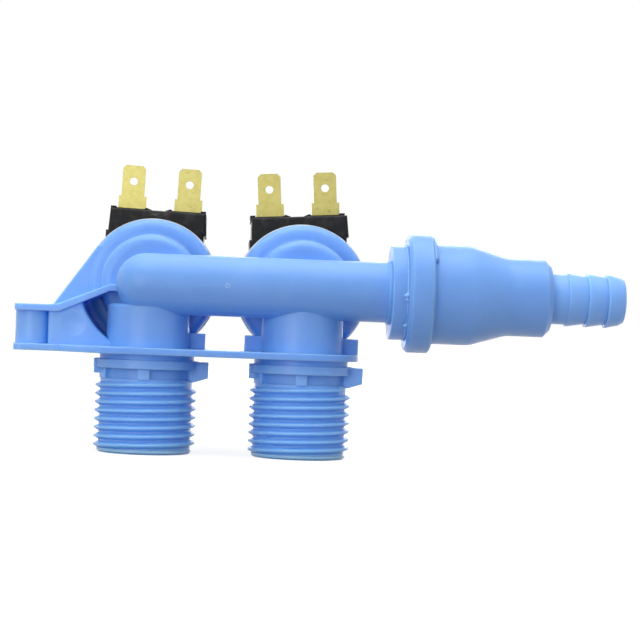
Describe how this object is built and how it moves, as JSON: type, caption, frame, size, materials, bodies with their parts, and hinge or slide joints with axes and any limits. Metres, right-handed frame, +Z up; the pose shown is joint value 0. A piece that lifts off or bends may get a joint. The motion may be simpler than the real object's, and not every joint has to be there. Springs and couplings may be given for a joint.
{
  "type": "washing machine inlet valve",
  "caption": "Two-way solenoid water valve with threaded inlets, a mixing tube, spade terminals and a hose barb outlet.",
  "frame": {"origin": "where the left inlet's axis meets the underside of the panel plate", "axes": "+X along the mixing tube to the hose barb, +Y back along the solenoids, +Z up away from the machine's panel"},
  "size_m": [0.1584, 0.0681, 0.0777],
  "materials": {
    "blue_plastic": "semi-gloss moulded",
    "white_plastic": "natural nylon",
    "black_plastic": "fine moulded grain",
    "black_rubber": "smooth moulded",
    "terminal_brass": "stamped strip",
    "plated_steel": "zinc plated",
    "spring_steel": "bright wire",
    "copper": "enamelled wire"
  },
  "bodies": {
    "valve": {"valve_body": "blue_plastic", "outlet_adapter": "blue_plastic", "flow_washer": "black_rubber", "flow_washer_holder": "white_plastic", "left_inlet_screen": "white_plastic", "left_diaphragm": "black_rubber", "left_guide_tube": "white_plastic", "left_plunger_spring": "spring_steel", "left_coil_moulding": "black_plastic", "left_coil_left_terminal": "terminal_brass", "left_coil_right_terminal": "terminal_brass", "left_coil_frame": "plated_steel", "left_bobbin": "black_plastic", "left_winding": "copper", "left_flux_sleeve": "plated_steel", "left_coil_clip": "spring_steel", "right_inlet_screen": "white_plastic", "right_diaphragm": "black_rubber", "right_guide_tube": "white_plastic", "right_plunger_spring": "spring_steel", "right_coil_moulding": "black_plastic", "right_coil_left_terminal": "terminal_brass", "right_coil_right_terminal": "terminal_brass", "right_coil_frame": "plated_steel", "right_bobbin": "black_plastic", "right_winding": "copper", "right_flux_sleeve": "plated_steel", "right_coil_clip": "spring_steel"},
    "left_plunger_body": {"left_plunger": "plated_steel", "left_plunger_tip": "black_rubber"},
    "left_insert_body": {"left_diaphragm_insert": "white_plastic"},
    "right_plunger_body": {"right_plunger": "plated_steel", "right_plunger_tip": "black_rubber"},
    "right_insert_body": {"right_diaphragm_insert": "white_plastic"}
  },
  "joints": [
    {"name": "left_plunger_slide", "type": "slide", "parent": "valve", "child": "left_plunger_body", "axis": [0, 1, 0], "range_m": [0, 0.0026], "stiffness_N_per_m": 120, "springref_m": -0.004, "deforming": ["left_plunger_spring"]},
    {"name": "left_diaphragm_slide", "type": "slide", "parent": "valve", "child": "left_insert_body", "axis": [0, 1, 0], "range_m": [0, 0.002], "deforming": ["left_diaphragm"]},
    {"name": "right_plunger_slide", "type": "slide", "parent": "valve", "child": "right_plunger_body", "axis": [0, 1, 0], "range_m": [0, 0.0026], "stiffness_N_per_m": 120, "springref_m": -0.004, "deforming": ["right_plunger_spring"]},
    {"name": "right_diaphragm_slide", "type": "slide", "parent": "valve", "child": "right_insert_body", "axis": [0, 1, 0], "range_m": [0, 0.002], "deforming": ["right_diaphragm"]}
  ],
  "couplings": [
    {"joint": "left_diaphragm_slide", "follows": "left_plunger_slide", "ratio": 0.769},
    {"joint": "right_diaphragm_slide", "follows": "right_plunger_slide", "ratio": 0.769}
  ]
}
